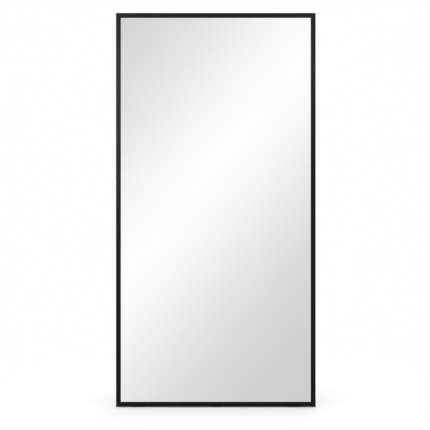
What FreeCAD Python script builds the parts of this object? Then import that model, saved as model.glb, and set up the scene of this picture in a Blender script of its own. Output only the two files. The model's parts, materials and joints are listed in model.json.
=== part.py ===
import FreeCAD, Part
import os

import Sketcher
from FreeCAD import Vector

# A floor mirror that leans on a wall: a silvered pane in a frame of mitred hollow aluminium bars.
#
# The part's frame has +Z up and the wall on its +Y side. The origin is on the floor, under the
# middle of the bottom rail, on the sole of the middle foot.
#
# The pieces are laid out in the mirror's own plane, which then leans back as one: x to the right
# as the viewer sees it, y from the front face to the back, z up from the bottom rail's outer face.
# Each side of the frame also has its own axes: x inward from its outer face, y back, z along it.

SIZES = {
    "width": 914,
    "height": 1803,
    "depth": 25,
    "lean": 5,
    # the bars: a hollow box, a lip in front of the pane, a flange over the spring clips
    "face_width": 22,
    "box_width": 12,
    "flange_width": 4,
    "wall": 1.6,
    # what the lip holds, from front to back
    "tape_thickness": 0.8,
    "tape_width": 4,
    "tape_setback": 1,
    "glass_thickness": 5,
    "glass_edge_gap": 2.5,
    "glass_arris": 0.5,
    "film_thickness": 0.3,
    "film_setback": 1,
    "foam_thickness": 2.5,
    "board_thickness": 5,
    "board_edge_gap": 1,
    # rubber between the pane's edge and the bars
    "setting_block_length": 60,
    "edge_spacer_length": 40,
    # the cast keys pressed into the mitres
    "key_leg": 60,
    "key_gap": 0.2,
    "key_plate": 4,
    "key_rim": 1.6,
    "key_first_cell": 13,
    "key_cell_count": 3,
    "key_corner_cut": 2,
    "key_lead_in": 1,
    # bowed spring clips between the board and the flange
    "clip_length": 60,
    "clip_width": 10,
    "clip_thickness": 0.8,
    "clip_gap": 0.4,
    "clip_inset": 200,
    "stile_clip_count": 4,
    "rail_clip_count": 3,
    # the flat bar across the back
    "bar_height": 60,
    "bar_thickness": 2.5,
    "bar_end_gap": 1,
    "bar_corner": 4,
    "bar_screw_spread": 36,
    # the two hangers on the bar
    "hanger_offset": 300,
    "hanger_lift": 22,
    "strap_width": 14,
    "strap_length": 44,
    "strap_thickness": 1.5,
    "strap_corner": 5,
    "strap_first_hole": 25,
    "strap_second_hole": 37,
    "ring_wire": 1.5,
    "ring_wire_sides": 12,
    "ring_bore_gap": 0.1,
    "ring_half_width": 9.5,
    "ring_leg": 5,
    "ring_corner": 2.5,
    # the screws of the bar and the hangers
    "screw_radius": 2,
    "screw_length": 8,
    "screw_head_radius": 4,
    "screw_head_height": 2.6,
    "screw_clearance": 0.2,
    "thread_gap": 0.02,
    # rubber that meets the wall and the floor
    "bumper_length": 40,
    "bumper_width": 10,
    "bumper_height": 11,
    "bumper_edge_gap": 3,
    "bumper_end_inset": 60,
    "bumper_round": 2,
    "foot_length": 60,
    "foot_front_setback": 8,
    "foot_back_setback": 3,
    "foot_clearance": 1,
    "foot_round": 3,
    "foot_end_inset": 100,
}

# Where the layers behind the lip start and end, from the front face back.
LIP_BACK = "sizes.wall"
GLASS_FRONT = f"({LIP_BACK} + sizes.tape_thickness)"
GLASS_BACK = f"({GLASS_FRONT} + sizes.glass_thickness)"
FILM_BACK = f"({GLASS_BACK} + sizes.film_thickness)"
FOAM_BACK = f"({FILM_BACK} + sizes.foam_thickness)"
BOARD_BACK = f"({FOAM_BACK} + sizes.board_thickness)"
FLANGE_FRONT = "(sizes.depth - sizes.wall)"
BAR_BACK = "(sizes.depth + sizes.bar_thickness)"
STRAP_BACK = f"({BAR_BACK} + sizes.strap_thickness)"

# How far the sheets' edges lie from the frame's outer faces.
GLASS_EDGE = "(sizes.box_width + sizes.glass_edge_gap)"
FILM_EDGE = f"({GLASS_EDGE} + sizes.film_setback)"
BOARD_EDGE = "(sizes.box_width + sizes.board_edge_gap)"
TAPE_OUTER = "(sizes.face_width - sizes.tape_setback)"
TAPE_INNER = f"({TAPE_OUTER} - sizes.tape_width)"

# A corner key fills the box but for its gap.
KEY_OUTER = "(sizes.wall + sizes.key_gap)"
KEY_INNER = "(sizes.box_width - sizes.wall - sizes.key_gap)"
KEY_THICKNESS = "(sizes.depth - 2 * sizes.wall - 2 * sizes.key_gap)"

# The bar crosses midway between the two highest clips of a stile, and its screws go into the middle
# of each stile's box.
STILE_CLIP_PITCH = "((sizes.height - 2 * sizes.clip_inset) / (sizes.stile_clip_count - 1))"
BAR_MIDDLE = f"(sizes.height - sizes.clip_inset - {STILE_CLIP_PITCH} / 2)"
BOX_MIDDLE = "(sizes.box_width / 2)"
BAR_SCREWS = [
    (f"{end} * (sizes.width / 2 - {BOX_MIDDLE})", f"{BAR_MIDDLE} + {row} * sizes.bar_screw_spread / 2")
    for end in (-1, 1)
    for row in (-1, 1)
]
CLEARANCE_HOLE = "sizes.screw_radius + sizes.screw_clearance"
TAPPED_HOLE = "sizes.screw_radius + sizes.thread_gap"

# The ring's wire turns in a knuckle that the strap's end is rolled into.
RING_AXIS_HEIGHT = f"({BAR_MIDDLE} + sizes.hanger_lift)"
KNUCKLE_BORE = "(sizes.ring_wire + sizes.ring_bore_gap)"
KNUCKLE_RADIUS = f"({KNUCKLE_BORE} + sizes.strap_thickness)"
STRAP_HOLES = ["sizes.strap_first_hole", "sizes.strap_second_hole"]
STRAP_SCREWS = [
    (f"{end} * sizes.hanger_offset", f"{RING_AXIS_HEIGHT} - {hole}")
    for end in (-1, 1)
    for hole in STRAP_HOLES
]

# The bottom rail's underside clears the floor by this much under the middle of its depth.
RAIL_LIFT = "(sizes.foot_clearance + sizes.depth / 2 * tan(sizes.lean))"


def start_document():
    """A document with the sheet of sizes and the leaning plane that everything is placed on."""
    document = FreeCAD.newDocument("floor_mirror")
    sheet = document.addObject("Spreadsheet::Sheet", "sizes")
    for row, (alias, value) in enumerate(SIZES.items(), start=1):
        sheet.set(f"A{row}", alias)
        sheet.set(f"B{row}", str(value))
        sheet.setAlias(f"B{row}", alias)
    document.recompute()
    plane = document.addObject("Part::LocalCoordinateSystem", "mirror_plane")
    plane.setExpression(
        "Placement",
        "placement(vector(0; 0; 0); rotation(vector(1; 0; 0); -sizes.lean))"
        f" * placement(vector(0; -sizes.depth / 2; {RAIL_LIFT}); rotation(vector(1; 0; 0); 0))",
    )
    document.recompute()
    return document


def on_mirror(x, y, z, turn=0):
    """A place on the leaning plane, turned about the plane's depth axis by so many degrees."""
    spot = f"placement(vector({x}; {y}; {z}); rotation(vector(0; 1; 0); {turn}))"
    return f"mirror_plane.Placement * {spot}"


def shifted(place, x, y, z):
    """The same place moved along its own axes."""
    return f"{place} * placement(vector({x}; {y}; {z}); rotation(vector(0; 1; 0); 0))"


def frame_side(bar, length, clips, place):
    """What is known of one side of the frame: its bar, its length, its clips and its own axes."""
    return {"bar": bar, "length": length, "clips": clips, "place": place}


STILE = ("sizes.height", "sizes.stile_clip_count")
RAIL = ("sizes.width", "sizes.rail_clip_count")
SIDES = {
    "left": frame_side("left_stile", *STILE, on_mirror("-sizes.width / 2", 0, "sizes.height / 2", 0)),
    "right": frame_side("right_stile", *STILE, on_mirror("sizes.width / 2", 0, "sizes.height / 2", 180)),
    "top": frame_side("top_rail", *RAIL, on_mirror(0, 0, "sizes.height", 90)),
    "bottom": frame_side("bottom_rail", *RAIL, on_mirror(0, 0, 0, -90)),
}

# The outer corners of the frame, and the turn that points a key's legs along the bars there.
CORNERS = {
    "bottom_left": on_mirror("-sizes.width / 2", 0, 0, 0),
    "bottom_right": on_mirror("sizes.width / 2", 0, 0, -90),
    "top_left": on_mirror("-sizes.width / 2", 0, "sizes.height", 90),
    "top_right": on_mirror("sizes.width / 2", 0, "sizes.height", 180),
}

DOCUMENT = start_document()
PIECES = []


# ---- sketches -------------------------------------------------------------------------------


def new_body(label, place):
    """An empty body for one piece, at its place."""
    body = DOCUMENT.addObject("PartDesign::Body", label)
    body.setExpression("Placement", place)
    PIECES.append(body)
    return body


def new_sketch(body, name, role, lift="0"):
    """A sketch on one of the body's own origin planes, lifted along that plane's normal."""
    sketch = body.newObject("Sketcher::SketchObject", name)
    plane = next(face for face in body.Origin.OriginFeatures if face.Role == role)
    sketch.AttachmentSupport = [(plane, "")]
    sketch.MapMode = "FlatFace"
    sketch.setExpression("AttachmentOffset.Base.z", lift)
    return sketch


def face_sketch(body, name, depth="0"):
    """A sketch in the piece's x and z, at this depth behind its front."""
    return new_sketch(body, name, "XZ_Plane", f"-({depth})")


def value_of(size):
    """The number that a size comes to."""
    return float(DOCUMENT.mirror_plane.evalExpression(size))


def bind(sketch, kind, *shape, size):
    """Constrain a sketch by a size that stays bound to the sheet."""
    index = sketch.addConstraint(Sketcher.Constraint(kind, *shape, value_of(size)))
    sketch.setExpression(f"Constraints[{index}]", size)


def pin_point(sketch, shape, point, x, y):
    """Fix one point of a sketch at two sizes from its origin."""
    for kind, axis, size in (("DistanceX", -2, x), ("DistanceY", -1, y)):
        if size == "0":
            sketch.addConstraint(Sketcher.Constraint("PointOnObject", shape, point, axis))
        else:
            bind(sketch, kind, -1, 1, shape, point, size=size)


def draw_outline(sketch, corners):
    """A closed outline of straight lines through corners, each an x size and a y size."""
    spots = [Vector(value_of(x), value_of(y), 0) for x, y in corners]
    ends = spots[1:] + spots[:1]
    lines = [sketch.addGeometry(Part.LineSegment(*pair), False) for pair in zip(spots, ends)]
    for line, following, corner in zip(lines, lines[1:] + lines[:1], corners):
        sketch.addConstraint(Sketcher.Constraint("Coincident", line, 2, following, 1))
        pin_point(sketch, line, 1, *corner)


def draw_box(sketch, left, low, right, high):
    """A rectangle between two opposite corners."""
    draw_outline(sketch, [(left, low), (right, low), (right, high), (left, high)])


def draw_circle(sketch, x, y, radius):
    """A circle of this radius about a point."""
    centre = Vector(value_of(x), value_of(y), 0)
    circle = sketch.addGeometry(Part.Circle(centre, Vector(0, 0, 1), value_of(radius)), False)
    pin_point(sketch, circle, 3, x, y)
    bind(sketch, "Radius", circle, size=radius)


# ---- features -------------------------------------------------------------------------------


def add_pad(body, sketch, length, reverse=False, middle=False):
    """Thicken a sketch along its normal, against it, or half each way."""
    pad = body.newObject("PartDesign::Pad", f"{sketch.Name}_pad")
    pad.Profile = sketch
    pad.setExpression("Length", length)
    pad.Reversed = reverse
    pad.Midplane = middle
    DOCUMENT.recompute()


def add_pocket(body, sketch, length=None, reverse=False):
    """Cut a sketch away against its normal, or along it, or right through where no length is given."""
    before = body.Shape.Volume
    pocket = body.newObject("PartDesign::Pocket", f"{sketch.Name}_pocket")
    pocket.Profile = sketch
    if length is None:
        pocket.Type = "ThroughAll"
        pocket.Midplane = True
    else:
        pocket.setExpression("Length", length)
        pocket.Reversed = reverse
    DOCUMENT.recompute()
    if body.Shape.Volume >= before:
        raise RuntimeError(f"{pocket.Name} of {body.Label} cuts nothing")


def dress_edges(body, kind, size_name, size, chosen):
    """Round or bevel the edges of the body's last shape that the given test picks."""
    base = body.Tip
    names = [f"Edge{index}" for index, edge in enumerate(base.Shape.Edges, start=1) if chosen(edge)]
    if not names:
        raise RuntimeError(f"no edge of {body.Label} to dress")
    dress = body.newObject(f"PartDesign::{kind}", f"{body.Name}_{kind.lower()}")
    dress.Base = (base, names)
    dress.setExpression(size_name, size)
    DOCUMENT.recompute()


def runs_along(edge, direction):
    """True for a straight edge that is parallel to this direction."""
    if not isinstance(edge.Curve, Part.Line):
        return False
    return abs(abs(edge.Curve.Direction.dot(Vector(*direction))) - 1) < 1e-6


def repeat_along(body, axis, span, count):
    """Repeat the whole body along one of its axes, the last copy a span away from the first."""
    row = body.newObject("PartDesign::LinearPattern", f"{body.Name}_row")
    line = next(item for item in body.Origin.OriginFeatures if item.Role == axis)
    row.TransformMode = "Whole shape"
    row.Direction = (line, [""])
    row.setExpression("Length", span)
    row.setExpression("Occurrences", count)
    body.Tip = row
    DOCUMENT.recompute()


# ---- the frame ------------------------------------------------------------------------------


def frame_bar(side):
    """One mitred bar: a hollow box with a lip in front and a flange behind."""
    length = side["length"]
    bar = new_body(side["bar"], side["place"])

    profile = new_sketch(bar, "profile", "XY_Plane")
    flange_end = "sizes.box_width + sizes.flange_width"
    outside = [
        ("0", "0"),
        ("sizes.face_width", "0"),
        ("sizes.face_width", "sizes.wall"),
        ("sizes.box_width", "sizes.wall"),
        ("sizes.box_width", FLANGE_FRONT),
        (flange_end, FLANGE_FRONT),
        (flange_end, "sizes.depth"),
        ("0", "sizes.depth"),
    ]
    draw_outline(profile, outside)
    draw_box(profile, "sizes.wall", "sizes.wall", "sizes.box_width - sizes.wall", FLANGE_FRONT)
    add_pad(bar, profile, length, middle=True)

    mitres = new_sketch(bar, "mitres", "XZ_Plane")
    across = "2 * sizes.face_width"
    for end in (-1, 1):
        tip = f"{end} * {length} / 2"
        inner = f"{end} * ({length} / 2 - {across})"
        beyond = f"{end} * ({length} / 2 + sizes.face_width)"
        draw_outline(mitres, [("0", tip), (across, inner), (across, beyond), ("0", beyond)])
    add_pocket(bar, mitres)
    return bar


def tap_for_bar(stile, upward):
    """Tapped holes in a stile for its screws of the cross bar. The stile's z runs up or down."""
    holes = face_sketch(stile, "bar_screw_holes", "sizes.depth")
    for row in (-1, 1):
        height = f"{BAR_MIDDLE} + {row} * sizes.bar_screw_spread / 2"
        draw_circle(holes, BOX_MIDDLE, f"{upward} * ({height} - sizes.height / 2)", TAPPED_HOLE)
    add_pocket(stile, holes, "2 * sizes.wall", reverse=True)


def corner_key(name, place):
    """A die-cast elbow pressed into two mitred bars, cored out from the front."""
    key = new_body(f"{name}_corner_key", place)
    lead = "sizes.key_lead_in"
    tip = f"sizes.key_leg - {lead}"

    elbow = face_sketch(key, "elbow", FLANGE_FRONT + " - sizes.key_gap")
    lower_leg = [
        (f"{KEY_OUTER} + sizes.key_corner_cut", KEY_OUTER),
        (tip, KEY_OUTER),
        ("sizes.key_leg", f"{KEY_OUTER} + {lead}"),
        ("sizes.key_leg", f"{KEY_INNER} - {lead}"),
        (tip, KEY_INNER),
    ]
    upright_leg = [(second, first) for first, second in reversed(lower_leg)]
    draw_outline(elbow, lower_leg + [(KEY_INNER, KEY_INNER)] + upright_leg)
    add_pad(key, elbow, KEY_THICKNESS)

    cells = face_sketch(key, "cells", KEY_OUTER)
    pitch = "((sizes.key_leg - sizes.key_first_cell) / sizes.key_cell_count)"
    low = f"{KEY_OUTER} + sizes.key_rim"
    high = f"{KEY_INNER} - sizes.key_rim"
    for index in range(round(value_of("sizes.key_cell_count"))):
        near = f"sizes.key_first_cell + {index} * {pitch}"
        far = f"sizes.key_first_cell + {index + 1} * {pitch} - sizes.key_rim"
        draw_box(cells, near, low, far, high)
        draw_box(cells, low, near, high, far)
    add_pocket(key, cells, f"{KEY_THICKNESS} - sizes.key_plate")


def screw_group(label, seat, spots):
    """Identical pan-head screws driven in from the back, their heads on a seat at one depth."""
    screws = new_body(label, on_mirror(0, 0, 0))
    shanks = face_sketch(screws, "shanks", seat)
    heads = face_sketch(screws, "heads", seat)
    for spot in spots:
        draw_circle(shanks, *spot, "sizes.screw_radius")
        draw_circle(heads, *spot, "sizes.screw_head_radius")
    add_pad(screws, shanks, "sizes.screw_length")
    add_pad(screws, heads, "sizes.screw_head_height", reverse=True)


# ---- what the frame holds -------------------------------------------------------------------


def mirror_pane():
    """The glass, its sharp edges taken off all round."""
    pane = new_body("mirror_pane", on_mirror(0, 0, 0))
    outline = face_sketch(pane, "outline", GLASS_FRONT)
    half = f"(sizes.width / 2 - {GLASS_EDGE})"
    draw_box(outline, f"-{half}", GLASS_EDGE, half, f"sizes.height - {GLASS_EDGE}")
    add_pad(pane, outline, "sizes.glass_thickness", reverse=True)

    def is_face_edge(edge):
        return runs_along(edge, (1, 0, 0)) or runs_along(edge, (0, 0, 1))

    dress_edges(pane, "Chamfer", "Size", "sizes.glass_arris", is_face_edge)


def backing_sheet(label, edge, front, thickness):
    """A plain rectangular sheet behind the pane."""
    sheet = DOCUMENT.addObject("Part::Box", label)
    sheet.setExpression("Length", f"sizes.width - 2 * {edge}")
    sheet.setExpression("Width", thickness)
    sheet.setExpression("Height", f"sizes.height - 2 * {edge}")
    sheet.setExpression("Placement", on_mirror(f"{edge} - sizes.width / 2", front, edge))
    PIECES.append(sheet)


def glazing_tape(name, side):
    """A strip of foam tape between the lip and the pane. The rails' strips end at the stiles'."""
    end_gap = TAPE_INNER if side["length"] == "sizes.height" else TAPE_OUTER
    length = f"({side['length']} - 2 * {end_gap})"
    tape = DOCUMENT.addObject("Part::Box", f"{name}_glazing_tape")
    tape.setExpression("Length", "sizes.tape_width")
    tape.setExpression("Width", "sizes.tape_thickness")
    tape.setExpression("Height", length)
    tape.setExpression("Placement", shifted(side["place"], TAPE_INNER, LIP_BACK, f"-{length} / 2"))
    PIECES.append(tape)


def edge_blocks(label, side, length):
    """Two rubber blocks at a side's quarter points, between its box and the pane's edge."""
    blocks = new_body(label, side["place"])
    outline = face_sketch(blocks, "outline", GLASS_FRONT)
    for end in (-1, 1):
        low = f"{end} * {side['length']} / 4 - {length} / 2"
        high = f"{end} * {side['length']} / 4 + {length} / 2"
        draw_box(outline, "sizes.box_width", low, GLASS_EDGE, high)
    add_pad(blocks, outline, "sizes.glass_thickness", reverse=True)


def spring_clips(name, side):
    """A row of bowed steel strips, their ends on the board and their crowns under the flange."""
    clips = new_body(f"{name}_spring_clips", side["place"])
    span = f"({side['length']} - 2 * sizes.clip_inset)"
    near = "sizes.box_width + sizes.clip_gap"
    bow = new_sketch(clips, "bow", "YZ_Plane", near)
    draw_bow(bow, f"-{span} / 2")
    add_pad(clips, bow, "sizes.clip_width")
    repeat_along(clips, "Z_Axis", span, side["clips"])


def draw_bow(sketch, middle):
    """The edge of a bowed strip about a point along its side: two arcs with one centre."""
    half = "(sizes.clip_length / 2)"
    rise = f"({FLANGE_FRONT} - {BOARD_BACK} - sizes.clip_thickness)"
    inner = f"(({half} * {half} + {rise} * {rise}) / (2 * {rise}))"
    outer = f"({inner} + sizes.clip_thickness)"
    growth = f"({outer} / {inner})"
    centre = f"({BOARD_BACK} + {rise} - {inner})"
    tips = (BOARD_BACK, f"{centre} + ({BOARD_BACK} - {centre}) * {growth}")
    reaches = (half, f"{half} * {growth}")

    arcs = []
    for radius, tip, reach in zip((inner, outer), tips, reaches):
        low = Vector(value_of(tip), value_of(f"{middle} - {reach}"), 0)
        high = Vector(value_of(tip), value_of(f"{middle} + {reach}"), 0)
        crown = Vector(value_of(f"{centre} + {radius}"), value_of(middle), 0)
        arc = sketch.addGeometry(Part.Arc(low, crown, high), False)
        pin_point(sketch, arc, 1, tip, f"{middle} - {reach}")
        pin_point(sketch, arc, 2, tip, f"{middle} + {reach}")
        bind(sketch, "Radius", arc, size=radius)
        arcs.append((arc, low, high))
    for point in (1, 2):
        ends = [arc[point] for arc in arcs]
        line = sketch.addGeometry(Part.LineSegment(*ends), False)
        for line_end, (arc, _, _) in zip((1, 2), arcs):
            sketch.addConstraint(Sketcher.Constraint("Coincident", line, line_end, arc, point))


# ---- the cross bar and its hangers ----------------------------------------------------------


def cross_bar():
    """A flat steel bar over both stiles, tapped for the hangers' screws."""
    bar = new_body("cross_bar", on_mirror(0, 0, BAR_MIDDLE))
    outline = face_sketch(bar, "outline", "sizes.depth")
    reach = "(sizes.width / 2 - sizes.bar_end_gap)"
    draw_box(outline, f"-{reach}", "-sizes.bar_height / 2", reach, "sizes.bar_height / 2")
    add_pad(bar, outline, "sizes.bar_thickness", reverse=True)
    dress_edges(bar, "Fillet", "Radius", "sizes.bar_corner", lambda edge: runs_along(edge, (0, 1, 0)))

    holes = face_sketch(bar, "screw_holes", BAR_BACK)
    for x, z in BAR_SCREWS:
        draw_circle(holes, x, f"{z} - {BAR_MIDDLE}", CLEARANCE_HOLE)
    for x, z in STRAP_SCREWS:
        draw_circle(holes, x, f"{z} - {BAR_MIDDLE}", TAPPED_HOLE)
    add_pocket(bar, holes)


def hanger_strap(name, x):
    """A two-hole strap on the bar, its top end rolled back into a knuckle for the ring."""
    strap = new_body(f"{name}_hanger_strap", on_mirror(x, BAR_BACK, RING_AXIS_HEIGHT))
    half = "sizes.strap_width / 2"
    outline = face_sketch(strap, "outline")
    draw_box(outline, f"-{half}", "-sizes.strap_length", half, "0")
    add_pad(strap, outline, "sizes.strap_thickness", reverse=True)

    def is_low_corner(edge):
        return runs_along(edge, (0, 1, 0)) and edge.CenterOfMass.z < value_of("-sizes.strap_length / 2")

    dress_edges(strap, "Fillet", "Radius", "sizes.strap_corner", is_low_corner)

    knuckle = new_sketch(strap, "knuckle", "YZ_Plane")
    draw_circle(knuckle, KNUCKLE_RADIUS, "0", KNUCKLE_RADIUS)
    draw_circle(knuckle, KNUCKLE_RADIUS, "0", KNUCKLE_BORE)
    add_pad(strap, knuckle, "sizes.strap_width", middle=True)

    mouth = new_sketch(strap, "knuckle_mouth", "YZ_Plane")
    draw_box(mouth, "sizes.strap_thickness", f"-{KNUCKLE_RADIUS}", KNUCKLE_RADIUS, "0")
    add_pocket(strap, mouth)

    holes = face_sketch(strap, "screw_holes", "sizes.strap_thickness")
    for hole in STRAP_HOLES:
        draw_circle(holes, "0", f"-{hole}", CLEARANCE_HOLE)
    add_pocket(strap, holes)


def hanger_ring(name, x):
    """A D-shaped wire ring that hangs plumb from its strap's knuckle."""
    axis = on_mirror(x, f"{BAR_BACK} + {KNUCKLE_RADIUS}", RING_AXIS_HEIGHT)
    plumb = f"{axis} * placement(vector(0; 0; 0); rotation(vector(1; 0; 0); sizes.lean))"
    ring = new_body(f"{name}_hanger_ring", plumb)
    path = new_sketch(ring, "wire_path", "XZ_Plane")
    draw_ring_path(path)
    wire = new_sketch(ring, "wire", "YZ_Plane")
    draw_wire_section(wire)
    pipe = ring.newObject("PartDesign::AdditivePipe", "wire_pipe")
    pipe.Profile = wire
    pipe.Spine = (path, [])
    DOCUMENT.recompute()


def draw_wire_section(wire):
    """The wire's section: a many-sided outline, which keeps the bends light."""
    angles = [f"({index} + 0.5) * 360 / sizes.ring_wire_sides" for index in range(ring_wire_sides())]
    draw_outline(
        wire, [(f"sizes.ring_wire * cos({angle})", f"sizes.ring_wire * sin({angle})") for angle in angles]
    )


def ring_wire_sides():
    """How many sides the wire's section has."""
    return round(value_of("sizes.ring_wire_sides"))


def draw_ring_path(path):
    """The wire's centre line: a straight top, rounded corners, short legs and a half circle."""
    half = value_of("sizes.ring_half_width")
    leg = value_of("sizes.ring_leg")
    corner = value_of("sizes.ring_corner")
    flat = half - corner

    def line(*ends):
        return Part.LineSegment(*(Vector(x, y, 0) for x, y in ends))

    def bend(start, middle, end):
        return Part.Arc(*(Vector(x, y, 0) for x, y in (start, middle, end)))

    inset = corner * (1 - 0.5**0.5)
    shapes = [
        line((0, 0), (flat, 0)),
        bend((flat, 0), (half - inset, -inset), (half, -corner)),
        line((half, -corner), (half, -leg)),
        bend((half, -leg), (0, -leg - half), (-half, -leg)),
        line((-half, -leg), (-half, -corner)),
        bend((-half, -corner), (inset - half, -inset), (-flat, 0)),
        line((-flat, 0), (0, 0)),
    ]
    top_right, right_corner, right_leg, bow, left_leg, left_corner, top_left = [
        path.addGeometry(shape, False) for shape in shapes
    ]
    # An arc's points run anticlockwise, so a walk clockwise round the ring meets its end first.
    joins = [
        ("Tangent", top_right, 2, right_corner, 2),
        ("Tangent", right_corner, 1, right_leg, 1),
        ("Tangent", right_leg, 2, bow, 2),
        ("Tangent", bow, 1, left_leg, 1),
        ("Tangent", left_leg, 2, left_corner, 2),
        ("Tangent", left_corner, 1, top_left, 1),
        ("Coincident", top_left, 2, top_right, 1),
        ("Coincident", top_right, 1, -1, 1),
        ("PointOnObject", bow, 3, -2),
        ("Horizontal", top_right),
        ("Horizontal", top_left),
        ("Vertical", right_leg),
    ]
    for join in joins:
        path.addConstraint(Sketcher.Constraint(*join))
    bind(path, "Radius", bow, size="sizes.ring_half_width")
    bind(path, "Radius", right_corner, size="sizes.ring_corner")
    bind(path, "Radius", left_corner, size="sizes.ring_corner")
    bind(path, "DistanceY", -1, 1, bow, 3, size="-sizes.ring_leg")


# ---- rubber ---------------------------------------------------------------------------------


def wall_bumper(name, side, x, tilt):
    """A rubber block on the back of a rail near its end. Its face is cut to the wall by the tilt."""
    inward = 1 if side == "bottom" else -1
    edge = "0" if side == "bottom" else "sizes.height"
    middle = f"{edge} + {inward} * (sizes.bumper_edge_gap + sizes.bumper_width / 2)"
    bumper = new_body(f"{side}_{name}_wall_bumper", on_mirror(x, "sizes.depth", middle))
    half = "sizes.bumper_width / 2"
    slope = f"{half} * tan({tilt})"
    section = new_sketch(bumper, "section", "YZ_Plane")
    low_face = (f"sizes.bumper_height + {slope}", f"-{half}")
    high_face = (f"sizes.bumper_height - {slope}", half)
    draw_outline(section, [("0", f"-{half}"), low_face, high_face, ("0", half)])
    add_pad(bumper, section, "sizes.bumper_length", middle=True)
    dress_edges(bumper, "Fillet", "Radius", "sizes.bumper_round", lambda edge: runs_along(edge, (0, 1, 0)))


def floor_foot(name, x):
    """A thin rubber wedge under the bottom rail, set back out of sight, its sole level on the floor."""
    foot = new_body(f"{name}_floor_foot", on_mirror(x, 0, 0))
    wedge = new_sketch(foot, "wedge", "YZ_Plane")
    front = "sizes.foot_front_setback"
    back = "(sizes.depth - sizes.foot_back_setback)"
    sole = [f"({edge} - sizes.depth / 2) * tan(sizes.lean) - {RAIL_LIFT}" for edge in (front, back)]
    draw_outline(wedge, [(front, "0"), (front, sole[0]), (back, sole[1]), (back, "0")])
    add_pad(foot, wedge, "sizes.foot_length", middle=True)
    dress_edges(foot, "Fillet", "Radius", "sizes.foot_round", lambda edge: runs_along(edge, (0, 0, 1)))


# ---- the whole mirror -----------------------------------------------------------------------


def build_frame():
    """The four bars and the keys in their corners."""
    bars = {name: frame_bar(side) for name, side in SIDES.items()}
    tap_for_bar(bars["left"], 1)
    tap_for_bar(bars["right"], -1)
    for name, place in CORNERS.items():
        corner_key(name, place)


def build_glazing():
    """The pane and its backing, bedded on tape and rubber and held in by clips."""
    mirror_pane()
    backing_sheet("safety_film", FILM_EDGE, GLASS_BACK, "sizes.film_thickness")
    backing_sheet("foam_sheet", GLASS_EDGE, FILM_BACK, "sizes.foam_thickness")
    backing_sheet("backing_board", BOARD_EDGE, FOAM_BACK, "sizes.board_thickness")
    for name, side in SIDES.items():
        glazing_tape(name, side)
        if name == "bottom":
            edge_blocks("setting_blocks", side, "sizes.setting_block_length")
        else:
            edge_blocks(f"{name}_edge_spacers", side, "sizes.edge_spacer_length")
        spring_clips(name, side)


def build_hanging():
    """The cross bar with its screws, and a strap and ring near each end."""
    cross_bar()
    screw_group("cross_bar_screws", BAR_BACK, BAR_SCREWS)
    for name, x in (("left", "-sizes.hanger_offset"), ("right", "sizes.hanger_offset")):
        hanger_strap(name, x)
        hanger_ring(name, x)
    screw_group("hanger_screws", STRAP_BACK, STRAP_SCREWS)


def build_rubber():
    """Bumpers for the wall and feet for the floor."""
    bumper_reach = "(sizes.width / 2 - sizes.bumper_end_inset)"
    for name, x in (("left", f"-{bumper_reach}"), ("right", bumper_reach)):
        wall_bumper(name, "top", x, "sizes.lean")
        wall_bumper(name, "bottom", x, "0")
    foot_reach = "(sizes.width / 2 - sizes.foot_end_inset)"
    for name, x in (("left", f"-{foot_reach}"), ("middle", "0"), ("right", foot_reach)):
        floor_foot(name, x)


def check_document():
    """Stop if any object of the document failed or any piece isn't a sound solid."""
    failed = [item.Name for item in DOCUMENT.Objects if {"Invalid", "Error"} & set(item.State)]
    if failed:
        raise RuntimeError(f"failed objects: {failed}")
    for piece in PIECES:
        shape = piece.Shape
        if shape.isNull() or not shape.isValid() or not shape.Solids:
            raise RuntimeError(f"{piece.Label} has no sound shape")


def write_pieces():
    """Write each piece to its own file."""
    os.makedirs("parts", exist_ok=True)
    for piece in PIECES:
        piece.Shape.exportStep(os.path.join("parts", f"{piece.Label}.step"))
        print(piece.Label, len(piece.Shape.Solids), round(piece.Shape.Volume, 1))


build_frame()
build_glazing()
build_hanging()
build_rubber()
DOCUMENT.recompute()
check_document()
write_pieces()
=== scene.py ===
import json
import math

import bmesh
import bpy
from mathutils import Matrix, Vector


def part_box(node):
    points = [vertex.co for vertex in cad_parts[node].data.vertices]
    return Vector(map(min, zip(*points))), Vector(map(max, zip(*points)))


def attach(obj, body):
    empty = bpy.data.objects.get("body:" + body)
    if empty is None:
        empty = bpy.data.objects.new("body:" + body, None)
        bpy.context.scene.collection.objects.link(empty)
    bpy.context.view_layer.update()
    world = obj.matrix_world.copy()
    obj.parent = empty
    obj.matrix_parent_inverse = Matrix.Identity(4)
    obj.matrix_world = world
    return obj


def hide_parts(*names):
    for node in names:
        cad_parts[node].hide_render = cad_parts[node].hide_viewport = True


# The looks of a floor mirror that leans back on a wall: a slim black powder-coated frame round a
# silvered pane, with a backing board, spring clips, a cross bar and two hanger rings behind.
# Everything is in metres. The wall is on the +Y side and the viewer on the -Y side.

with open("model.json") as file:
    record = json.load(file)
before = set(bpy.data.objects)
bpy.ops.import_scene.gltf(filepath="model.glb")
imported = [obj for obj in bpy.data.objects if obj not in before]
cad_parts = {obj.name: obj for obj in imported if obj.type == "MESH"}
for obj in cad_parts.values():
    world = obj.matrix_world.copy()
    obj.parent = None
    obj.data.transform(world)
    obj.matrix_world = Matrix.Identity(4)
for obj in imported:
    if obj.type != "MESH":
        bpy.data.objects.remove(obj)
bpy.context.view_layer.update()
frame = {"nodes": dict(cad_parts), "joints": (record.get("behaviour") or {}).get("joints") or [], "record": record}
NODES = frame["nodes"]

LEAN = math.radians(5)

# Turns the part's frame so that y runs straight through the mirror and z up its face.
TO_MIRROR = Matrix.Rotation(LEAN, 3, "X")
FROM_MIRROR = TO_MIRROR.inverted()


def mirror_box(corners):
    """Lowest and highest corner of some points, along the leaning mirror's own axes."""
    turned = [TO_MIRROR @ corner for corner in corners]
    lowest = Vector(min(spot[axis] for spot in turned) for axis in range(3))
    highest = Vector(max(spot[axis] for spot in turned) for axis in range(3))
    return lowest, highest


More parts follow.
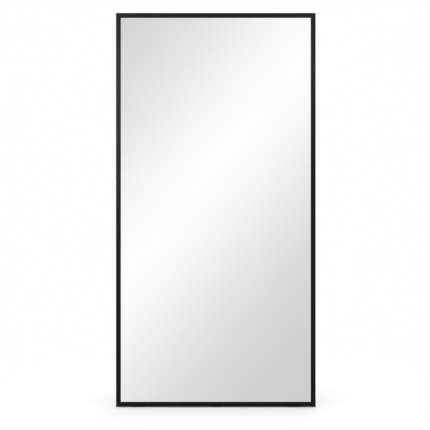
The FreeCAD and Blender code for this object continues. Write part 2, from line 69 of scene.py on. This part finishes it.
def link(name, data):
    """A new object in the scene."""
    made = bpy.data.objects.new(name, data)
    bpy.context.scene.collection.objects.link(made)
    return made


# ---- camera ---------------------------------------------------------------------------------

PHOTO_SIDE = 430

# The frame's width and the middle of its face in the photograph, in pixels.
FRAME_WIDTH_PX = 199.62
FRAME_MIDDLE_PX = (215.8, 209.84)

SENSOR_MM = 36.0
CAMERA_DISTANCE = 5.0
CAMERA_REACH = 100


def place_camera():
    """A long lens square to the mirror's face, with the frame as large as in the photograph."""
    bars = ("left_stile", "right_stile", "top_rail", "bottom_rail")
    lowest, highest = mirror_box([vert.co for bar in bars for vert in NODES[bar].data.vertices])
    middle = Vector(((lowest.x + highest.x) / 2, lowest.y, (lowest.z + highest.z) / 2))
    metre_px = FRAME_WIDTH_PX / (highest.x - lowest.x)
    aside = (PHOTO_SIDE / 2 - FRAME_MIDDLE_PX[0]) / metre_px
    below = (FRAME_MIDDLE_PX[1] - PHOTO_SIDE / 2) / metre_px

    data = bpy.data.cameras.new("camera")
    data.sensor_width = SENSOR_MM
    data.lens = metre_px * CAMERA_DISTANCE * SENSOR_MM / PHOTO_SIDE
    data.clip_end = CAMERA_REACH
    camera = link("camera", data)
    camera.location = FROM_MIRROR @ (middle + Vector((aside, -CAMERA_DISTANCE, below)))
    camera.rotation_euler = (math.pi / 2 - LEAN, 0, 0)
    bpy.context.scene.camera = camera


place_camera()

# ---- shader helpers -------------------------------------------------------------------------

WHITE = (1, 1, 1)

# How squarely a face has to look along a direction to count as facing it, as a cosine: where it
# begins to and where it does wholly.
FACING_BEGINS = 0.9
FACING_WHOLLY = 0.98


def feed(tree, socket, value):
    """Link a socket to another one or set its value, a colour's without its alpha."""
    if isinstance(value, bpy.types.NodeSocket):
        tree.links.new(value, socket)
    elif socket.type == "RGBA":
        socket.default_value = (*value, 1)
    else:
        socket.default_value = value


def add_node(tree, kind, sockets=(), **settings):
    """A new node with its properties, and with the sockets that are given fed."""
    node = tree.nodes.new(kind)
    for name, value in settings.items():
        setattr(node, name, value)
    for name, value in dict(sockets).items():
        feed(tree, node.inputs[name], value)
    return node


def new_group(name, inputs, outputs):
    """An empty node group with named sockets, and its two end nodes."""
    tree = bpy.data.node_groups.new(name, "ShaderNodeTree")
    for label, kind, value in inputs:
        socket = tree.interface.new_socket(label, in_out="INPUT", socket_type=kind)
        if value is not None:
            socket.default_value = value
    for label, kind in outputs:
        tree.interface.new_socket(label, in_out="OUTPUT", socket_type=kind)
    return tree, tree.nodes.new("NodeGroupInput"), tree.nodes.new("NodeGroupOutput")


def grain_group():
    """Soft irregular grain, as a mask from nought to one, in so many grains to the metre."""
    tree, start, end = new_group(
        "grain",
        [
            ("Vector", "NodeSocketVector", None),
            ("Stretch", "NodeSocketVector", (1, 1, 1)),
            ("Per Metre", "NodeSocketFloat", 100),
            ("Contrast", "NodeSocketFloat", 1),
        ],
        [("Mask", "NodeSocketFloat")],
    )
    drawn_out = add_node(
        tree,
        "ShaderNodeVectorMath",
        operation="MULTIPLY",
        sockets={0: start.outputs["Vector"], 1: start.outputs["Stretch"]},
    )
    noise = add_node(
        tree,
        "ShaderNodeTexNoise",
        sockets={
            "Vector": drawn_out.outputs[0],
            "Scale": start.outputs["Per Metre"],
            "Detail": 3.0,
            "Roughness": 0.55,
        },
    )
    centred = add_node(
        tree, "ShaderNodeMath", operation="SUBTRACT", sockets={0: noise.outputs["Fac"], 1: 0.5}
    )
    spread = add_node(
        tree,
        "ShaderNodeMath",
        operation="MULTIPLY_ADD",
        use_clamp=True,
        sockets={0: centred.outputs[0], 1: start.outputs["Contrast"], 2: 0.5},
    )
    tree.links.new(spread.outputs[0], end.inputs["Mask"])
    return tree


def cells_group():
    """Closed cells, as a height that falls from the middle of each cell to its wall."""
    tree, start, end = new_group(
        "cells",
        [("Vector", "NodeSocketVector", None), ("Per Metre", "NodeSocketFloat", 1000)],
        [("Height", "NodeSocketFloat")],
    )
    pores = add_node(
        tree,
        "ShaderNodeTexVoronoi",
        feature="F1",
        sockets={"Vector": start.outputs["Vector"], "Scale": start.outputs["Per Metre"]},
    )
    fall = add_node(
        tree,
        "ShaderNodeMath",
        operation="SUBTRACT",
        use_clamp=True,
        sockets={0: 1.0, 1: pores.outputs["Distance"]},
    )
    tree.links.new(fall.outputs[0], end.inputs["Height"])
    return tree


def facing_group():
    """A mask that is one where a face looks along a direction and nought where it looks aside."""
    tree, start, end = new_group(
        "facing",
        [("Normal", "NodeSocketVector", None), ("Direction", "NodeSocketVector", (0, 0, 1))],
        [("Mask", "NodeSocketFloat")],
    )
    along = add_node(
        tree,
        "ShaderNodeVectorMath",
        operation="DOT_PRODUCT",
        sockets={0: start.outputs["Normal"], 1: start.outputs["Direction"]},
    )
    sharp = add_node(
        tree,
        "ShaderNodeMapRange",
        clamp=True,
        sockets={
            "Value": along.outputs["Value"],
            "From Min": FACING_BEGINS,
            "From Max": FACING_WHOLLY,
        },
    )
    tree.links.new(sharp.outputs["Result"], end.inputs["Mask"])
    return tree


GRAIN = grain_group()
CELLS = cells_group()
FACING = facing_group()


class Finish:
    """A material in the making: its tree, its shader and the surface's own coordinates."""

    def __init__(self, name, metallic=0.0, specular=0.5, roughness=0.5):
        self.material = bpy.data.materials.new(name)
        self.material.use_nodes = True
        self.tree = self.material.node_tree
        self.tree.nodes.clear()
        self.shader = add_node(
            self.tree,
            "ShaderNodeBsdfPrincipled",
            sockets={
                "Metallic": metallic,
                "Roughness": roughness,
                "Specular IOR Level": specular,
            },
        )
        end = self.tree.nodes.new("ShaderNodeOutputMaterial")
        self.tree.links.new(self.shader.outputs["BSDF"], end.inputs["Surface"])
        self.surface = self.tree.nodes.new("ShaderNodeTexCoord")

    def use(self, group, output, sockets):
        """What a group puts out over this surface."""
        placed = add_node(self.tree, "ShaderNodeGroup", node_tree=group, sockets=sockets)
        return placed.outputs[output]

    def grain(self, per_metre, contrast=2.0, stretch=(1, 1, 1)):
        """A grain mask over this surface."""
        sockets = {
            "Vector": self.surface.outputs["Object"],
            "Stretch": stretch,
            "Per Metre": per_metre,
            "Contrast": contrast,
        }
        return self.use(GRAIN, "Mask", sockets)

    def cells(self, per_metre):
        """A height of closed cells over this surface."""
        sockets = {"Vector": self.surface.outputs["Object"], "Per Metre": per_metre}
        return self.use(CELLS, "Height", sockets)

    def facing(self, direction):
        """A mask of the faces that look along a direction."""
        sockets = {"Normal": self.surface.outputs["Normal"], "Direction": direction}
        return self.use(FACING, "Mask", sockets)

    def mix(self, mask, first, second):
        """A colour that goes from the first to the second with a mask."""
        mixer = add_node(self.tree, "ShaderNodeMix", data_type="RGBA")
        for name, kind, value in (
            ("Factor", "VALUE", mask),
            ("A", "RGBA", first),
            ("B", "RGBA", second),
        ):
            socket = next(item for item in mixer.inputs if (item.name, item.type) == (name, kind))
            feed(self.tree, socket, value)
        return next(item for item in mixer.outputs if item.type == "RGBA")

    def colour(self, mask, first, second):
        """Colour the surface from the first to the second by a mask."""
        feed(self.tree, self.shader.inputs["Base Color"], self.mix(mask, first, second))

    def gloss(self, mask, low, high):
        """Vary the roughness from low to high by a mask."""
        spread = add_node(
            self.tree,
            "ShaderNodeMapRange",
            sockets={"Value": mask, "To Min": low, "To Max": high},
        )
        feed(self.tree, self.shader.inputs["Roughness"], spread.outputs["Result"])

    def relief(self, height, depth):
        """Raise the surface by a height mask, this many metres at its highest."""
        bump = add_node(
            self.tree, "ShaderNodeBump", sockets={"Height": height, "Distance": depth, "Strength": 1}
        )
        feed(self.tree, self.shader.inputs["Normal"], bump.outputs["Normal"])


# ---- finishes -------------------------------------------------------------------------------

FRONT = FROM_MIRROR @ Vector((0, -1, 0))


def powder_coat(name):
    """Satin black powder: an even skin with a fine orange peel."""
    coat = Finish(name, specular=0.07)
    coat.colour(coat.grain(7), (0.0072, 0.0072, 0.0078), (0.0087, 0.0087, 0.0094))
    coat.gloss(coat.grain(60), 0.38, 0.46)
    coat.relief(coat.grain(700, contrast=1.2), 0.000005)
    return coat.material


def silvered_glass():
    """Polished glass with silver behind it, and a greenish ground edge."""
    glass = Finish("silvered_glass", metallic=1.0)
    polished = glass.facing(FRONT)
    silver = glass.mix(glass.grain(3), (0.938, 0.942, 0.944), (0.948, 0.951, 0.952))
    glass.colour(polished, (0.30, 0.38, 0.36), silver)
    glass.gloss(polished, 0.45, 0.008)
    return glass.material


def die_cast():
    """Bare cast metal with a slightly pitted skin."""
    cast = Finish("die_cast", metallic=1.0)
    cast.colour(cast.grain(90), (0.36, 0.36, 0.37), (0.52, 0.52, 0.53))
    cast.gloss(cast.grain(300), 0.42, 0.6)
    cast.relief(cast.grain(1500, contrast=2.5), 0.00006)
    return cast.material


def milky_film():
    """Thin milky film that lets the grey backing paint show."""
    film = Finish("milky_film")
    film.colour(film.grain(12), (0.40, 0.42, 0.44), (0.46, 0.48, 0.50))
    film.gloss(film.grain(40), 0.3, 0.5)
    return film.material


def white_foam():
    """Sheet foam with small closed cells."""
    foam = Finish("white_foam", roughness=0.85)
    foam.colour(foam.grain(40), (0.78, 0.78, 0.77), (0.88, 0.88, 0.87))
    foam.relief(foam.cells(1300), 0.0002)
    return foam.material


def fibreboard():
    """Pressed fibreboard: fine paler fibres in a tan ground, and a plain pale cut edge."""
    board = Finish("fibreboard", specular=0.3)
    fibres = board.grain(1300, contrast=2.4, stretch=(0.5, 1, 0.8))
    ground = board.mix(board.grain(6, contrast=1.6), (0.37, 0.245, 0.142), (0.41, 0.275, 0.163))
    pressed = board.mix(fibres, ground, (0.44, 0.305, 0.188))
    board.colour(board.facing(-FRONT), (0.52, 0.37, 0.235), pressed)
    board.gloss(fibres, 0.72, 0.88)
    board.relief(fibres, 0.00002)
    return board.material


def foam_tape():
    """Black foam tape."""
    tape = Finish("foam_tape", specular=0.2, roughness=0.9)
    tape.colour(tape.grain(200), (0.014, 0.014, 0.014), (0.028, 0.028, 0.028))
    tape.relief(tape.cells(2500), 0.0001)
    return tape.material


def moulded_rubber():
    """Matt black rubber with the fine grain of its mould and a dry bloom."""
    rubber = Finish("moulded_rubber", specular=0.3)
    rubber.colour(rubber.grain(70, contrast=2.5), (0.012, 0.012, 0.0125), (0.024, 0.024, 0.0235))
    rubber.gloss(rubber.grain(150), 0.62, 0.8)
    rubber.relief(rubber.grain(2200), 0.00003)
    return rubber.material


def blued_steel():
    """Tempered steel strip, rolled along its length and blued."""
    steel = Finish("blued_steel", metallic=1.0)
    rolled = steel.grain(1600, stretch=(1, 0.05, 0.05))
    tinted = steel.mix(steel.grain(25), (0.17, 0.175, 0.19), (0.25, 0.255, 0.265))
    steel.colour(rolled, tinted, (0.30, 0.305, 0.315))
    steel.gloss(rolled, 0.28, 0.42)
    steel.relief(rolled, 0.000008)
    return steel.material


def bright_zinc():
    """Zinc plate with the faint cloudiness of its clear passivation."""
    zinc = Finish("bright_zinc", metallic=1.0)
    zinc.colour(zinc.grain(160, contrast=2.4), (0.60, 0.62, 0.65), (0.72, 0.725, 0.73))
    zinc.gloss(zinc.grain(500), 0.24, 0.4)
    zinc.relief(zinc.grain(1800), 0.00001)
    return zinc.material


FINISHES = {
    "black_coat": powder_coat("black_powder_coat"),
    "bar_coat": powder_coat("black_powder_coat_on_steel"),
    "cast_metal": die_cast(),
    "silvered_glass": silvered_glass(),
    "film": milky_film(),
    "foam": white_foam(),
    "board": fibreboard(),
    "tape": foam_tape(),
    "rubber": moulded_rubber(),
    "spring_steel": blued_steel(),
    "zinc_plate": bright_zinc(),
}


def finish_nodes():
    """Give every CAD node the finish of its material slot."""
    for part in frame["record"]["subparts"]:
        for slot in NODES[part["node"]].material_slots:
            slot.material = FINISHES[part["material_slot"]]


finish_nodes()

# ---- mesh helpers ---------------------------------------------------------------------------

SAME_CORNER = 1e-6
SHARP_ANGLE = math.radians(40)


def close_tube(work, loops):
    """Faces from each loop of corners to the next, and a cap on either end."""
    for low, high in zip(loops, loops[1:]):
        for step in range(len(low)):
            after = (step + 1) % len(low)
            work.faces.new((low[step], low[after], high[after], high[step]))
    work.faces.new(list(reversed(loops[0])))
    work.faces.new(loops[-1])


def solid_mesh(name, work):
    """A mesh of the work, which ends here, with all its faces turned outward."""
    bmesh.ops.recalc_face_normals(work, faces=work.faces)
    mesh = bpy.data.meshes.new(name)
    work.to_mesh(mesh)
    work.free()
    return mesh


def new_piece(name, mesh, slot, body, replaced):
    """Show a mesh, smooth except over its sharp edges, on a body in place of a CAD node."""
    mesh.shade_smooth()
    mesh.set_sharp_from_angle(angle=SHARP_ANGLE)
    mesh.materials.clear()
    mesh.materials.append(FINISHES[slot])
    piece = link(name, mesh)
    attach(piece, body)
    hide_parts(replaced)


# ---- eased edges ----------------------------------------------------------------------------

FLAT_ANGLE = math.radians(0.5)

# The radius that each node's sharp edges are broken to.
EASED = {
    0.00035: ["left_stile", "right_stile", "top_rail", "bottom_rail", "cross_bar"],
    0.0004: [node for node in NODES if node.endswith(("_bumper", "_foot", "corner_key"))],
    0.00025: ["left_hanger_strap", "right_hanger_strap", "backing_board"],
    0.00015: [node for node in NODES if node.endswith("_spring_clips")],
}


def ease_edges(node, radius):
    """Break a node's sharp edges with modifiers that leave its mesh as it is."""
    stack = NODES[node].modifiers
    weld = stack.new("joined_corners", "WELD")
    weld.merge_threshold = SAME_CORNER
    flat = stack.new("whole_faces", "DECIMATE")
    flat.decimate_type = "DISSOLVE"
    flat.angle_limit = FLAT_ANGLE
    bevel = stack.new("eased_edges", "BEVEL")
    bevel.width = radius
    bevel.segments = 2
    bevel.limit_method = "ANGLE"
    bevel.angle_limit = SHARP_ANGLE
    even = stack.new("even_shading", "WEIGHTED_NORMAL")
    even.keep_sharp = True


for radius, nodes in EASED.items():
    for node in nodes:
        ease_edges(node, radius)

# ---- screws ---------------------------------------------------------------------------------

SCREW_STEPS = 20

# The thread: its radius at the crests, in the grooves and at the blunt tip, and its pitch.
THREAD_RADIUS = 0.002
THREAD_ROOT = 0.0016
THREAD_TIP = 0.00128
THREAD_PITCH = 0.0007
ROWS_PER_TURN = 5

# A pan head: its height and rounded rim, the share of its height that stands upright, the share of
# its radius that stays flat on top, and the power that rounds the dome between them.
HEAD_HEIGHT = 0.0026
HEAD_RIM = 0.00025
HEAD_UPRIGHT = 0.42
HEAD_FLAT = 0.12
DOME_POWER = 0.55
DOME_STEPS = 9

# The driver's point: how deep it goes in and how far it stands out, and half the length and width
# of its wings at the recess's floor and at its own top.
RECESS_DEPTH = 0.0017
RECESS_PROUD = 0.0005
RECESS_FLOOR = (0.000735, 0.00027)
RECESS_TOP = (0.002415, 0.000495)

# How far round the first screw was left when it was tight, and how much further each next one, in
# radians.
FIRST_TURN = 0.4
NEXT_TURN = 1.1


def solids_of(node):
    """The separate solids of a CAD node, each as the list of its corners."""
    work = bmesh.new()
    work.from_mesh(NODES[node].data)
    bmesh.ops.remove_doubles(work, verts=work.verts, dist=SAME_CORNER)
    seen, solids = set(), []
    for first in work.verts:
        if first in seen:
            continue
        seen.add(first)
        waiting, corners = [first], []
        while waiting:
            vert = waiting.pop()
            corners.append(vert.co.copy())
            for edge in vert.link_edges:
                other = edge.other_vert(vert)
                if other not in seen:
                    seen.add(other)
                    waiting.append(other)
        solids.append(corners)
    work.free()
    return solids


def thread_rows(length):
    """The rows of a threaded shank, from its blunt tip up to the head, each with its radii."""
    rows = [(-length, [THREAD_TIP] * SCREW_STEPS)]
    count = round((length - THREAD_PITCH) / THREAD_PITCH * ROWS_PER_TURN)
    for index in range(count):
        height = -length + THREAD_PITCH / 2 + index * THREAD_PITCH / ROWS_PER_TURN
        radii = []
        for step in range(SCREW_STEPS):
            turn = index / ROWS_PER_TURN - step / SCREW_STEPS
            rise = abs(2 * (turn % 1) - 1)
            radii.append(THREAD_ROOT + (THREAD_RADIUS - THREAD_ROOT) * rise)
        rows.append((height, radii))
    return rows + [(0.0, [THREAD_ROOT] * SCREW_STEPS)]


def head_rows(radius):
    """The rows of a pan head above its seat: a rounded rim, an upright side and a low dome."""
    upright = HEAD_HEIGHT * HEAD_UPRIGHT
    outline = [(0.0, radius - HEAD_RIM / 2), (HEAD_RIM / 2, radius), (upright, radius)]
    for step in range(1, DOME_STEPS):
        angle = math.pi / 2 * step / DOME_STEPS
        height = upright + (HEAD_HEIGHT - upright) * math.sin(angle)
        outline.append((height, radius * math.cos(angle) ** DOME_POWER))
    outline.append((HEAD_HEIGHT, radius * HEAD_FLAT))
    return [(height, [reach] * SCREW_STEPS) for height, reach in outline]


def screw_mesh(length, head_radius):
    """A pan-head machine screw along z, its seat at nought, with a cross recess in its head."""
    work = bmesh.new()
    loops = []
    for height, radii in thread_rows(length) + head_rows(head_radius):
        loop = []
        for step, radius in enumerate(radii):
            angle = 2 * math.pi * step / SCREW_STEPS
            spot = (radius * math.cos(angle), radius * math.sin(angle), height)
            loop.append(work.verts.new(spot))
        loops.append(loop)
    close_tube(work, loops)
    return cut_away(solid_mesh("screw", work), driver_mesh())


def driver_mesh():
    """The driver's point: two crossed wings that taper to the bottom of the recess."""
    work = bmesh.new()
    floor, top = HEAD_HEIGHT - RECESS_DEPTH, HEAD_HEIGHT + RECESS_PROUD
    for crossed in (False, True):
        loops = []
        for height, (reach, wing) in ((floor, RECESS_FLOOR), (top, RECESS_TOP)):
            loop = []
            for x, y in ((-reach, -wing), (reach, -wing), (reach, wing), (-reach, wing)):
                spot = (y, -x, height) if crossed else (x, y, height)
                loop.append(work.verts.new(spot))
            loops.append(loop)
        close_tube(work, loops)
    return solid_mesh("recess", work)


def cut_away(mesh, tool):
    """A new mesh: the first with the second cut out of it."""
    body, cutter = link("body", mesh), link("cutter", tool)
    cut = body.modifiers.new("cut", "BOOLEAN")
    cut.operation = "DIFFERENCE"
    cut.solver = "EXACT"
    cut.use_self = True
    cut.object = cutter
    shaped = body.evaluated_get(bpy.context.evaluated_depsgraph_get())
    result = bpy.data.meshes.new_from_object(shaped)
    bpy.data.objects.remove(body)
    bpy.data.objects.remove(cutter)
    return result


def screws_in_place(node):
    """Detailed screws where a CAD node has its plain ones, each turned a little differently."""
    work = bmesh.new()
    for index, corners in enumerate(solids_of(node)):
        lowest, highest = mirror_box(corners)
        length = highest.y - lowest.y - HEAD_HEIGHT
        head_radius = (highest.x - lowest.x) / 2
        seat = (
            (lowest.x + highest.x) / 2,
            highest.y - HEAD_HEIGHT,
            (lowest.z + highest.z) / 2,
        )
        mesh = screw_mesh(length, head_radius)
        mesh.transform(
            FROM_MIRROR.to_4x4()
            @ Matrix.Translation(seat)
            @ Matrix.Rotation(-math.pi / 2, 4, "X")
            @ Matrix.Rotation(FIRST_TURN + NEXT_TURN * index, 4, "Z")
        )
        work.from_mesh(mesh)
    joined = bpy.data.meshes.new(f"{node}_detailed")
    work.to_mesh(joined)
    work.free()
    new_piece(f"{node}_detailed", joined, "zinc_plate", "mirror", node)


screws_in_place("cross_bar_screws")
screws_in_place("hanger_screws")

# ---- hanger rings ---------------------------------------------------------------------------

# The radius of the wire's two bends beside the knuckle, along the middle of the wire.
RING_CORNER = 0.0025

CORNER_STEPS = 8
BOW_STEPS = 32
WIRE_STEPS = 24

# What is left open between the wire's two cut ends, in the knuckle.
WIRE_GAP = 0.0004


def arc_points(centre, radius, start, end, steps):
    """Points of an arc in the ring's plane, from start to end in degrees, and where each faces."""
    points = []
    for step in range(steps + 1):
        angle = math.radians(start + (end - start) * step / steps)
        x = centre[0] + radius * math.cos(angle)
        z = centre[1] + radius * math.sin(angle)
        points.append((x, z, angle))
    return points


def ring_path(half, leg):
    """The wire's centre line from one cut end round to the other, both inside the knuckle."""
    flat = half - RING_CORNER
    up = math.pi / 2
    path = [(WIRE_GAP / 2, 0, up)]
    path += arc_points((flat, -RING_CORNER), RING_CORNER, 90, 0, CORNER_STEPS)
    path += arc_points((0, -leg), half, 0, -180, BOW_STEPS)
    path += arc_points((-flat, -RING_CORNER), RING_CORNER, 180, 90, CORNER_STEPS)
    return path + [(-WIRE_GAP / 2, 0, up)]


def ring_in_place(side):
    """A round-wire ring where the CAD node has its many-sided one."""
    node = f"{side}_hanger_ring"
    lowest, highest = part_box(node)
    joint = next(item for item in frame["joints"] if item["child"] == f"{side}_ring")
    axis = Vector(joint["pos_m"])
    wire = (highest.y - lowest.y) / 2
    half = (highest.x - lowest.x) / 2 - wire
    leg = axis.z - lowest.z - wire - half

    work = bmesh.new()
    loops = []
    for x, z, angle in ring_path(half, leg):
        outward = Vector((math.cos(angle), 0, math.sin(angle)))
        loop = []
        for step in range(WIRE_STEPS):
            turn = 2 * math.pi * step / WIRE_STEPS
            offset = wire * (math.cos(turn) * outward + math.sin(turn) * Vector((0, 1, 0)))
            loop.append(work.verts.new(axis + Vector((x, 0, z)) + offset))
        loops.append(loop)
    close_tube(work, loops)
    name = f"{side}_wire_ring"
    new_piece(name, solid_mesh(name, work), "zinc_plate", f"{side}_ring", node)


ring_in_place("left")
ring_in_place("right")

# ---- floor ----------------------------------------------------------------------------------

# The white that the camera sees behind the object and on the far floor.
BACKGROUND = 0.99

FLOOR_REACH = 30.0

# Near the object the camera sees a floor that is part lit and part glowing, so that its shadows are
# as faint as the photograph's. Between these distances it fades into the background.
FLOOR_LIT = (0.46, 0.46, 0.46)
FLOOR_GLOW = 0.186
FLOOR_FADE_START = 0.35
FLOOR_FADE_END = 1.2

# What the floor throws back on the object.
FLOOR_BOUNCE = (0.58, 0.58, 0.58)


def floor_material():
    """Pale floor that reads as white where no shadow falls, and as nothing from below."""
    material = bpy.data.materials.new("pale_floor")
    material.use_nodes = True
    tree = material.node_tree
    tree.nodes.clear()

    def either(factor, first, second):
        sockets = {0: factor, 1: first.outputs[0], 2: second.outputs[0]}
        return add_node(tree, "ShaderNodeMixShader", sockets=sockets)

    def emission(strength):
        return add_node(tree, "ShaderNodeEmission", sockets={"Color": WHITE, "Strength": strength})

    lit = add_node(tree, "ShaderNodeBsdfDiffuse", sockets={"Color": FLOOR_LIT})
    glow = emission(FLOOR_GLOW)
    near = add_node(tree, "ShaderNodeAddShader", sockets={0: lit.outputs[0], 1: glow.outputs[0]})
    surface = tree.nodes.new("ShaderNodeTexCoord")
    distance = add_node(
        tree, "ShaderNodeVectorMath", operation="LENGTH", sockets={0: surface.outputs["Object"]}
    )
    fade = add_node(
        tree,
        "ShaderNodeMapRange",
        interpolation_type="SMOOTHSTEP",
        sockets={
            "Value": distance.outputs["Value"],
            "From Min": FLOOR_FADE_START,
            "From Max": FLOOR_FADE_END,
        },
    )
    seen = either(fade.outputs["Result"], near, emission(BACKGROUND))
    bounce = add_node(tree, "ShaderNodeBsdfDiffuse", sockets={"Color": FLOOR_BOUNCE})
    rays = tree.nodes.new("ShaderNodeLightPath")
    from_above = either(rays.outputs["Is Camera Ray"], bounce, seen)
    clear = tree.nodes.new("ShaderNodeBsdfTransparent")
    side = tree.nodes.new("ShaderNodeNewGeometry")
    both_sides = either(side.outputs["Backfacing"], from_above, clear)
    end = tree.nodes.new("ShaderNodeOutputMaterial")
    tree.links.new(both_sides.outputs[0], end.inputs["Surface"])
    return material


def lay_floor():
    """A wide floor under the feet, which doesn't show in the mirror."""
    mesh = bpy.data.meshes.new("floor")
    reach = FLOOR_REACH
    corners = [(-reach, -reach, 0), (reach, -reach, 0), (reach, reach, 0), (-reach, reach, 0)]
    mesh.from_pydata(corners, [], [(0, 1, 2, 3)])
    mesh.materials.append(floor_material())
    floor = link("floor", mesh)
    floor.visible_glossy = False


lay_floor()

# ---- light ----------------------------------------------------------------------------------

# The studio that the mirror shows: one broad pale band that runs up to the right across what the
# camera sees, between greyer walls that swing gently lighter and darker further round. A place on
# the walls is told by the cosine of its angle to the direction straight across the band. The
# widening stretches the swings more, the further they are from the band's middle.
BAND_ACROSS = Vector((0.761, 0.0, -0.649))
BAND_MIDDLE = -0.0872
BAND_HALF_WIDTH = 0.128
BAND_WIDENING = 3.18
STUDIO_DARK = 0.651
STUDIO_PALE = 1.033

# The plain light from all round, and how much stronger it is from straight behind the mirror, and
# weaker from straight in front.
STUDIO_FILL = 0.70
STUDIO_FILL_SWING = 0.26


def studio_world():
    """White behind the object, the banded studio in what shines, and plain light on the rest."""
    world = bpy.data.worlds.new("studio")
    bpy.context.scene.world = world
    world.use_nodes = True
    tree = world.node_tree
    tree.nodes.clear()
    way = tree.nodes.new("ShaderNodeTexCoord")

    def maths(operation, first, second=0.0, third=0.0):
        return add_node(
            tree, "ShaderNodeMath", operation=operation, sockets={0: first, 1: second, 2: third}
        ).outputs[0]

    def chosen(ray, value, otherwise):
        rest = maths("MULTIPLY", maths("SUBTRACT", 1.0, ray), otherwise)
        return maths("ADD", rest, maths("MULTIPLY", ray, value))

    across = add_node(
        tree,
        "ShaderNodeVectorMath",
        operation="DOT_PRODUCT",
        sockets={0: way.outputs["Generated"], 1: BAND_ACROSS},
    ).outputs["Value"]
    off_middle = maths("ABSOLUTE", maths("SUBTRACT", across, BAND_MIDDLE))
    widening = maths("MULTIPLY_ADD", off_middle, BAND_WIDENING, 1.0)
    halves = maths("DIVIDE", maths("DIVIDE", off_middle, BAND_HALF_WIDTH), widening)
    wave = maths("COSINE", maths("MULTIPLY", halves, math.pi))
    swing = (STUDIO_PALE - STUDIO_DARK) / 2
    banded = maths("MULTIPLY_ADD", wave, swing, STUDIO_DARK + swing)

    apart = add_node(tree, "ShaderNodeSeparateXYZ", sockets={0: way.outputs["Generated"]})
    fill = maths("MULTIPLY_ADD", apart.outputs["Y"], STUDIO_FILL_SWING, STUDIO_FILL)

    rays = tree.nodes.new("ShaderNodeLightPath")
    shiny = maths("MAXIMUM", rays.outputs["Is Glossy Ray"], rays.outputs["Is Transmission Ray"])
    strength = chosen(rays.outputs["Is Camera Ray"], BACKGROUND, chosen(shiny, banded, fill))
    background = add_node(
        tree, "ShaderNodeBackground", sockets={"Color": WHITE, "Strength": strength}
    )
    end = tree.nodes.new("ShaderNodeOutputWorld")
    tree.links.new(background.outputs[0], end.inputs["Surface"])


def new_lamp(name, kind, **settings):
    """A lamp that lights the object but doesn't show in the mirror."""
    data = bpy.data.lights.new(name, kind)
    for setting, value in settings.items():
        setattr(data, setting, value)
    lamp = link(name, data)
    lamp.visible_glossy = False
    return lamp


def distant_light(name, tilt, spread, strength):
    """A wide even light in line with the mirror, so many degrees from overhead to the right."""
    lamp = new_lamp(name, "SUN", angle=math.radians(spread), energy=strength)
    lamp.rotation_euler = (0, math.radians(tilt), 0)


def soft_lamp(name, place, target, side, power, spread):
    """A square soft lamp that points at a target, its beam so many degrees wide."""
    lamp = new_lamp(
        name, "AREA", shape="SQUARE", size=side, energy=power, spread=math.radians(spread)
    )
    lamp.location = place
    lamp.rotation_euler = (Vector(target) - Vector(place)).to_track_quat("-Z", "Y").to_euler()


studio_world()

# The overhead light makes the shadow in front of the base, and the side lights the thin ones beside
# it. The left and right lamps light the stiles' faces, and the back lamp the board.
distant_light("overhead_light", tilt=0, spread=26, strength=2.7)
distant_light("right_side_light", tilt=55, spread=40, strength=0.7)
distant_light("left_side_light", tilt=-55, spread=40, strength=0.7)
soft_lamp("left_lamp", (-0.75, -0.85, 1.6), (-0.5, 0, 1.35), side=0.6, power=6.6, spread=78)
soft_lamp("right_lamp", (0.6, -0.6, 1.75), (0.5, 0, 1.6), side=0.4, power=1.3, spread=75)
soft_lamp("back_lamp", (0.5, 1.5, 2.4), (0, 0, 0.9), side=1.0, power=1.8, spread=70)

bpy.context.scene.view_settings.view_transform = "Standard"
